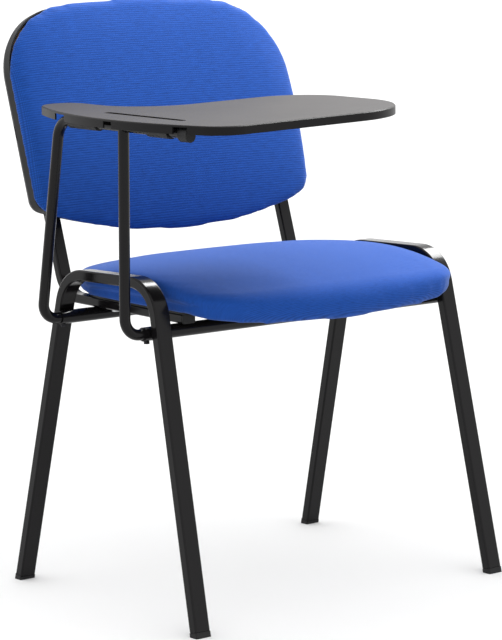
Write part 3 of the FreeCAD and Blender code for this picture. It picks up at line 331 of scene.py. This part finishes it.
def moulded_tablet(settings):
    """Moulded ABS tablet: a grained, blotchy top painted paler grey as painted light and reflection
    from above, above a smooth black skirt and groove.
    """
    material, tree, surface = new_material("moulded_abs", {"Specular IOR Level": 0.13})
    spot = add_node(tree, "ShaderNodeTexCoord").outputs["Object"]
    up, level = tablet_plane()
    height = add_node(tree, "ShaderNodeVectorMath", {
        0: spot, 1: up}, operation="DOT_PRODUCT").outputs["Value"]
    # The skin marks the top face, which gets the painted light; the edge below keeps the plastic's own
    # black
    foot = level - settings.skin
    skin = add_node(tree, "ShaderNodeMapRange", {
        "Value": height, "From Min": foot, "From Max": foot + settings.skin_blend}).outputs["Result"]
    grain = add_node(tree, "ShaderNodeTexNoise", {
        "Vector": spot, "Scale": 1 / (1.6 * MM), "Detail": 2.0}).outputs["Fac"]
    scuffs = add_node(tree, "ShaderNodeTexNoise", {
        "Vector": spot, "Scale": 1 / (60 * MM), "Detail": 5.0}).outputs["Fac"]
    # Painted light: the top is painted grey, paler than the edge's black, for the light and reflection
    # it catches from above
    painted_lit_top = add_node(tree, "ShaderNodeMix", {
        "Factor": scuffs, "A": linear(settings.top, 0.85), "B": linear(settings.top, 1.2)},
        data_type="RGBA").outputs["Result"]
    tone = add_node(tree, "ShaderNodeMix", {
        "Factor": skin, "A": linear(settings.edge), "B": painted_lit_top}, data_type="RGBA").outputs["Result"]
    gloss = add_node(tree, "ShaderNodeMapRange", {
        "Value": skin, "To Min": 0.38, "To Max": 0.55}).outputs["Result"]
    bump = add_node(tree, "ShaderNodeBump", {
        "Height": grain, "Strength": 0.3, "Distance": 0.15 * MM}).outputs["Normal"]
    feed(tree, surface, {"Base Color": tone, "Roughness": gloss, "Normal": bump})
    return material


def birch_plywood():
    """Birch plywood: pale plies seen as bands at the edge, with streaks along the grain."""
    material, tree, surface = new_material("birch_plywood", {"Roughness": 0.62})
    spot = add_node(tree, "ShaderNodeTexCoord").outputs["Object"]
    # Streaks are some 83 mm long across the chair and lie in plies 1.4 mm thick
    grain_spot = add_node(tree, "ShaderNodeMapping", {
        "Vector": spot,
        "Scale": (1 / (83 * MM), 1 / (6.25 * MM), 1 / (1.43 * MM))}).outputs["Vector"]
    grain = add_node(tree, "ShaderNodeTexNoise", {
        "Vector": grain_spot, "Scale": 1.0, "Detail": 3.0}).outputs["Fac"]
    tone = add_node(tree, "ShaderNodeMix", {
        "Factor": grain, "A": linear("#A77E4F"), "B": linear("#DDBF8F")},
        data_type="RGBA").outputs["Result"]
    feed(tree, surface, {"Base Color": tone})
    return material


def zinc_plate():
    """Zinc-plated steel of the screws: pale metal with a blotchy passivation."""
    material, tree, surface = new_material("zinc_plated_steel", {"Metallic": 1.0})
    spot = add_node(tree, "ShaderNodeTexCoord").outputs["Object"]
    blotches = add_node(tree, "ShaderNodeTexNoise", {
        "Vector": spot, "Scale": 1 / (3 * MM), "Detail": 3.0}).outputs["Fac"]
    tone = add_node(tree, "ShaderNodeMix", {
        "Factor": blotches, "A": linear("#8E9093"), "B": linear("#C9CBCC")},
        data_type="RGBA").outputs["Result"]
    gloss = add_node(tree, "ShaderNodeMapRange", {
        "Value": blotches, "To Min": 0.28, "To Max": 0.5}).outputs["Result"]
    feed(tree, surface, {"Base Color": tone, "Roughness": gloss})
    return material


def black_oxide():
    """Blackened steel of the bolts under the sockets: dark with a dull metal gleam."""
    material, tree, surface = new_material("black_oxide_steel", {"Metallic": 1.0, "Roughness": 0.45})
    spot = add_node(tree, "ShaderNodeTexCoord").outputs["Object"]
    blotches = add_node(tree, "ShaderNodeTexNoise", {
        "Vector": spot, "Scale": 1 / (2 * MM), "Detail": 3.0}).outputs["Fac"]
    tone = add_node(tree, "ShaderNodeMix", {
        "Factor": blotches, "A": linear("#1A1A1B"), "B": linear("#37373A")},
        data_type="RGBA").outputs["Result"]
    feed(tree, surface, {"Base Color": tone})
    return material


def stop_rubber():
    """Moulded rubber of the stop's pad: dark, dull and slightly dusty."""
    material, tree, surface = new_material("moulded_rubber", {"Roughness": 0.8})
    spot = add_node(tree, "ShaderNodeTexCoord").outputs["Object"]
    dust = add_node(tree, "ShaderNodeTexNoise", {
        "Vector": spot, "Scale": 1 / (4 * MM), "Detail": 4.0}).outputs["Fac"]
    tone = add_node(tree, "ShaderNodeMix", {
        "Factor": dust, "A": linear("#131313"), "B": linear("#2A2A29")},
        data_type="RGBA").outputs["Result"]
    feed(tree, surface, {"Base Color": tone})
    return material


def studio_paper(settings):
    """Paper roll of the studio's floor: matt white with a faint mottle."""
    material, tree, surface = new_material("studio_paper", {"Roughness": 0.9})
    spot = add_node(tree, "ShaderNodeTexCoord").outputs["Object"]
    mottle = add_node(tree, "ShaderNodeTexNoise", {
        "Vector": spot, "Scale": 1 / (333 * MM)}).outputs["Fac"]
    tone = add_node(tree, "ShaderNodeMix", {
        "Factor": mottle, "A": linear(settings.floor, 0.98), "B": linear(settings.floor)},
        data_type="RGBA").outputs["Result"]
    feed(tree, surface, {"Base Color": tone})
    return material


def place_piece(name, mesh, material, node):
    """Finished piece of the chair that stands for a CAD node."""
    mesh.materials.clear()
    mesh.materials.append(material)
    piece = bpy.data.objects.new(name, mesh)
    bpy.context.scene.collection.objects.link(piece)
    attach(piece, CHAIR)
    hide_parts(node)
    return piece


def merged_copy(node):
    """Copy of a CAD node's mesh with its loose triangles joined."""
    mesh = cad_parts[node].data.copy()
    shape = bmesh.new()
    shape.from_mesh(mesh)
    bmesh.ops.remove_doubles(shape, verts=shape.verts, dist=MERGE_REACH)
    shape.to_mesh(mesh)
    shape.free()
    return mesh


def evaluated_mesh(item):
    """Mesh of an object with its modifiers applied."""
    graph = bpy.context.evaluated_depsgraph_get()
    return bpy.data.meshes.new_from_object(item.evaluated_get(graph))


def eased(value, low, high):
    """Smooth step from 0 at low to 1 at high."""
    share = min(1.0, max(0.0, (value - low) / (high - low)))
    return share * share * (3 - 2 * share)


def evened(mesh, values, passes):
    """Values of a mesh's points, each pass averaged with those of the points next to it."""
    ends = np.empty(2 * len(mesh.edges), dtype=np.int64)
    mesh.edges.foreach_get("vertices", ends)
    ends = ends.reshape(-1, 2)
    count = np.bincount(ends.ravel(), minlength=len(values)) + 1
    for _ in range(passes):
        total = values.copy()
        np.add.at(total, ends[:, 0], values[ends[:, 1]])
        np.add.at(total, ends[:, 1], values[ends[:, 0]])
        values = total / count
    return values


def foam_blank(node, ease, settings, held):
    """Even mesh of a CAD cushion, let out by an ease except where it is held."""
    blank = bpy.data.objects.new(f"{node}_blank", merged_copy(node))
    bpy.context.scene.collection.objects.link(blank)
    even = blank.modifiers.new("even_faces", "REMESH")
    even.mode = "VOXEL"
    even.voxel_size = settings.voxel
    blank.data = evaluated_mesh(blank)
    blank.modifiers.clear()
    outward = [vert.normal.copy() for vert in blank.data.vertices]
    still = [vert.index for vert in blank.data.vertices if held(vert.co)]
    loose = sorted(set(range(len(outward))) - set(still))
    for index in loose:
        blank.data.vertices[index].co += outward[index] * ease
    blank.vertex_groups.new(name="held").add(still, 1.0, "REPLACE")
    calmed = blank.vertex_groups.new(name="calmed")
    calmed.add(loose, 1.0, "REPLACE")
    calmed.add(still, settings.rim_calm, "REPLACE")
    return blank, outward


def blow_up(blank, outward, settings):
    """Swell the blank as cloth under pressure; its points go straight outwards, evenly, up to a cap."""
    start = [vert.co.copy() for vert in blank.data.vertices]
    cloth = blank.modifiers.new("cloth", "CLOTH")
    cloth.settings.quality = settings.quality
    cloth.settings.use_pressure = True
    cloth.settings.uniform_pressure_force = settings.pressure
    cloth.settings.effector_weights.gravity = 0
    cloth.settings.vertex_group_mass = "held"
    cloth.point_cache.frame_start = 1
    cloth.point_cache.frame_end = settings.frames
    scene = bpy.context.scene
    for step in range(1, settings.frames + 1):
        scene.frame_set(step)
    swollen = evaluated_mesh(blank)
    blank.modifiers.clear()
    travel = [(vert.co - old).dot(away) for vert, old, away in zip(swollen.vertices, start, outward)]
    travel = evened(blank.data, np.clip(travel, 0.0, settings.swell), settings.spread)
    for vert, old, away, length in zip(blank.data.vertices, start, outward, travel):
        vert.co = old + away * float(length)
    scene.frame_set(1)


def finished_cover(blank, settings):
    """Smooth mesh of a blown-up blank; the blank goes."""
    calm = blank.modifiers.new("calm", "SMOOTH")
    calm.factor = settings.calm_step
    calm.iterations = settings.calm
    calm.vertex_group = "calmed"
    fine = blank.modifiers.new("fine", "SUBSURF")
    fine.levels = 1
    fine.render_levels = 1
    mesh = evaluated_mesh(blank)
    mesh.shade_smooth()
    bpy.data.objects.remove(blank)
    return mesh


def cloth_cover(node, ease, settings, held):
    """Cloth cover of a CAD cushion; held tells where a point stays on its board."""
    blank, outward = foam_blank(node, ease, settings, held)
    blow_up(blank, outward, settings)
    return finished_cover(blank, settings)


def place_cover(name, mesh, weave_spot, node):
    """Padded piece of a cover; weave_spot lays its UV map in metres from a point."""
    layer = mesh.uv_layers.new(name="weave")
    for loop in mesh.loops:
        layer.data[loop.index].uv = weave_spot(mesh.vertices[loop.vertex_index].co)
    piece = place_piece(name, mesh, bpy.data.materials["woven_polyester"], node)


def lay_floor(settings):
    """Round paper floor under the chair."""
    shape = bmesh.new()
    bmesh.ops.create_circle(shape, cap_ends=True, segments=64, radius=settings.floor_radius)
    mesh = bpy.data.meshes.new("floor")
    shape.to_mesh(mesh)
    shape.free()
    mesh.materials.append(studio_paper(settings))
    floor = bpy.data.objects.new("floor", mesh)
    bpy.context.scene.collection.objects.link(floor)
    return floor


def aim_at(item, place, aim):
    """Put a light or a camera at a place, turned towards a point."""
    item.location = place
    item.rotation_euler = (Vector(aim) - Vector(place)).to_track_quat("-Z", "Y").to_euler()
    bpy.context.scene.collection.objects.link(item)


def soft_light(name, power, size, place, aim, floor):
    """Square studio light on the chair; the floor is left to the light all round."""
    data = bpy.data.lights.new(name, "AREA")
    data.energy = power
    data.size = size
    light = bpy.data.objects.new(name, data)
    aim_at(light, place, aim)
    left_out = bpy.data.collections.new(name)
    left_out.objects.link(floor)
    left_out.collection_objects[0].light_linking.link_state = "EXCLUDE"
    light.light_linking.receiver_collection = left_out


class CHAIR_OT_finishes(bpy.types.Operator):
    """Make the chair's materials and give them to the CAD pieces"""

    bl_idname = "chair.finishes"
    bl_label = "Finishes"

    def execute(self, context):
        scene = context.scene
        by_slot = {
            "cloth": woven_polyester(scene.chair_upholstery),
            "frame_paint": powder_coat(scene.chair_frame),
            "plastic": moulded_plastic(scene.chair_tablet),
            "plywood": birch_plywood(),
            "zinc": zinc_plate(),
            "rubber": stop_rubber(),
        }
        by_node = {"tablet_top": moulded_tablet(scene.chair_tablet), "socket_bolts": black_oxide()}
        slots = {name: node.data.materials[0].name for name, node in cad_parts.items()}
        for name, slot in slots.items():
            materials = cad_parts[name].data.materials
            materials.clear()
            materials.append(by_node.get(name, by_slot[slot]))
        return {"FINISHED"}


class CHAIR_OT_tubes(bpy.types.Operator):
    """Round the corners of the rectangular tubes"""

    bl_idname = "chair.tubes"
    bl_label = "Rounded tubes"

    def execute(self, context):
        settings = context.scene.chair_frame
        paint = bpy.data.materials["powder_coated_steel"]
        for node in TUBES:
            mesh = merged_copy(node)
            # Normals that came with the CAD mesh would hide the rounding
            drawn = mesh.attributes.get("custom_normal")
            if drawn:
                mesh.attributes.remove(drawn)
            mesh.shade_smooth()
            piece = place_piece(f"{node}_tube", mesh, paint, node)
            rounding = piece.modifiers.new("rounding", "BEVEL")
            rounding.width = settings.corner
            rounding.segments = settings.corner_faces
            rounding.limit_method = "ANGLE"
            rounding.angle_limit = settings.corner_turn
            rounding.harden_normals = True
        return {"FINISHED"}


class CHAIR_OT_seat(bpy.types.Operator):
    """Cover the seat's foam with cloth"""

    bl_idname = "chair.seat"
    bl_label = "Seat cushion"

    def execute(self, context):
        settings = context.scene.chair_upholstery
        near = settings.margin
        pan_low, pan_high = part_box("seat_pan")
        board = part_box("seat_board")[1].z
        foam_low, foam_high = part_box("seat_cushion")
        middle = (foam_low.x + foam_high.x) / 2
        half = foam_high.x - middle

        def held(point):
            across = pan_low.x - near < point.x < pan_high.x + near
            along = pan_low.y - near < point.y < pan_high.y + near
            return across and along and point.z < board + near

        mesh = cloth_cover("seat_cushion", settings.seat_ease, settings, held)
        for vert in mesh.vertices:
            out = vert.co.x - middle
            loose = eased(vert.co.z, board, board + settings.fade)
            vert.co.x += math.copysign(settings.bulge * loose * eased(abs(out), 0, half), out)

        finer = settings.rib / settings.seat_rib
        lip = foam_low.y + settings.lip

        def weave_spot(point):
            drop = max(0.0, settings.turn_z - point.z)
            front = 1 - eased(point.y, lip, lip + settings.roll)
            out = point.x - middle
            side = eased(abs(out), half - settings.roll, half) * (1 - front)
            return (finer * (out + math.copysign(drop * side, out)), finer * (point.y - drop * front))

        place_cover("seat_cover", mesh, weave_spot, "seat_cushion")
        return {"FINISHED"}


class CHAIR_OT_back(bpy.types.Operator):
    """Cover the back's foam with cloth"""

    bl_idname = "chair.back"
    bl_label = "Back cushion"

    def execute(self, context):
        settings = context.scene.chair_upholstery
        tube = context.scene.chair_frame
        corner = Vector(tube.back_foot)
        up = Vector((0, math.sin(tube.rake), math.cos(tube.rake)))
        forward = Vector((0, -math.cos(tube.rake), math.sin(tube.rake)))
        still = tube.board_face + settings.margin / 2

        def held(point):
            return (point - corner).dot(forward) < still

        mesh = cloth_cover("back_cushion", settings.back_ease, settings, held)
        heights = [(vert.co - corner).dot(up) for vert in mesh.vertices]
        foot, head = min(heights), max(heights)
        for vert, height in zip(mesh.vertices, heights):
            reach = vert.co - corner
            loose = eased(reach.dot(forward), still, still + settings.fade)
            vert.co.x -= reach.x * settings.taper * loose * (1 - eased(height, foot, head))
            vert.co -= up * (settings.settle + settings.sag * loose)

        def weave_spot(point):
            reach = point - corner
            return (reach.x, reach.dot(up))

        place_cover("back_cover", mesh, weave_spot, "back_cushion")
        return {"FINISHED"}


class CHAIR_OT_stage(bpy.types.Operator):
    """Lay the floor, hang the lights and set the camera"""

    bl_idname = "chair.stage"
    bl_label = "Studio"

    def execute(self, context):
        scene = context.scene
        settings = scene.chair_stage
        floor = lay_floor(settings)
        world = bpy.data.worlds.new("studio")
        world.use_nodes = True
        sky = world.node_tree.nodes["Background"]
        feed(world.node_tree, sky, {"Color": (1, 1, 1, 1), "Strength": settings.sky})
        scene.world = world
        aim = settings.light_aim
        soft_light("side_light", settings.side, settings.side_size, settings.side_place, aim, floor)
        soft_light("top_light", settings.top, settings.top_size, settings.top_place, aim, floor)
        data = bpy.data.cameras.new("camera")
        data.lens = settings.lens
        camera = bpy.data.objects.new("camera", data)
        aim_at(camera, settings.eye, settings.aim)
        scene.camera = camera
        scene.view_settings.view_transform = "Standard"
        return {"FINISHED"}


class CHAIR_PT_sidebar(bpy.types.Panel):
    """Pieces of the chair and its studio"""

    bl_idname = "CHAIR_PT_sidebar"
    bl_label = "Tablet arm chair"
    bl_space_type = "VIEW_3D"
    bl_region_type = "UI"
    bl_category = "Chair"

    def draw(self, context):
        for operator in OPERATORS:
            self.layout.operator(operator.bl_idname)
        for name in SETTINGS:
            group = getattr(context.scene, name)
            for prop in group.bl_rna.properties.keys():
                if prop not in ("rna_type", "name"):
                    self.layout.prop(group, prop)


SETTINGS = {
    "chair_upholstery": UpholsterySettings,
    "chair_frame": FrameSettings,
    "chair_tablet": TabletSettings,
    "chair_stage": StageSettings,
}
OPERATORS = (CHAIR_OT_finishes, CHAIR_OT_tubes, CHAIR_OT_seat, CHAIR_OT_back, CHAIR_OT_stage)


def register():
    for group in SETTINGS.values():
        bpy.utils.register_class(group)
    for name, group in SETTINGS.items():
        setattr(bpy.types.Scene, name, PointerProperty(type=group))
    for operator in OPERATORS:
        bpy.utils.register_class(operator)
    bpy.utils.register_class(CHAIR_PT_sidebar)


def unregister():
    bpy.utils.unregister_class(CHAIR_PT_sidebar)
    for operator in reversed(OPERATORS):
        bpy.utils.unregister_class(operator)
    for name in SETTINGS:
        delattr(bpy.types.Scene, name)
    for group in SETTINGS.values():
        bpy.utils.unregister_class(group)


def main():
    register()
    bpy.ops.chair.finishes()
    bpy.ops.chair.tubes()
    bpy.ops.chair.seat()
    bpy.ops.chair.back()
    bpy.ops.chair.stage()


if __name__ == "__main__":
    main()
